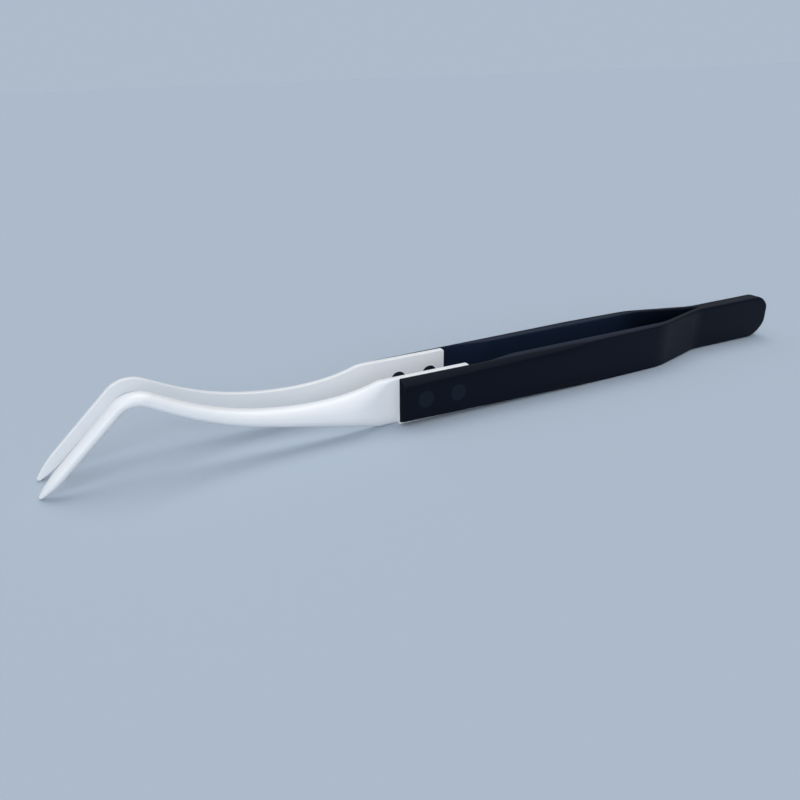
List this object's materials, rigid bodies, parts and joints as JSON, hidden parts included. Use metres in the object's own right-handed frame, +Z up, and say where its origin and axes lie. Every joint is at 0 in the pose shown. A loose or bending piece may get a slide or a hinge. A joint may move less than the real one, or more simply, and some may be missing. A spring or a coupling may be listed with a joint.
{
  "type": "ceramic tipped tweezers",
  "caption": "Bent-nose tweezers with a black moulded handle whose spring arms join in a thin rear slab, and white ceramic tips pinned into the arms.",
  "frame": {"origin": "on the surface that the tweezers stand on, under the middle of their whole length and width", "axes": "+X runs from the points to the rear slab, +Y goes across the gap to the left arm, +Z is up"},
  "size_m": [0.139, 0.0122, 0.0129],
  "materials": {
    "handle": "satin black moulding",
    "ceramic": "satin white, ground",
    "pin": "satin dark grey"
  },
  "bodies": {
    "root": {"handle": "handle", "ceramic_tip_left": "ceramic", "ceramic_tip_right": "ceramic", "pin_left_front": "pin", "pin_left_rear": "pin", "pin_right_front": "pin", "pin_right_rear": "pin"}
  },
  "joints": []
}
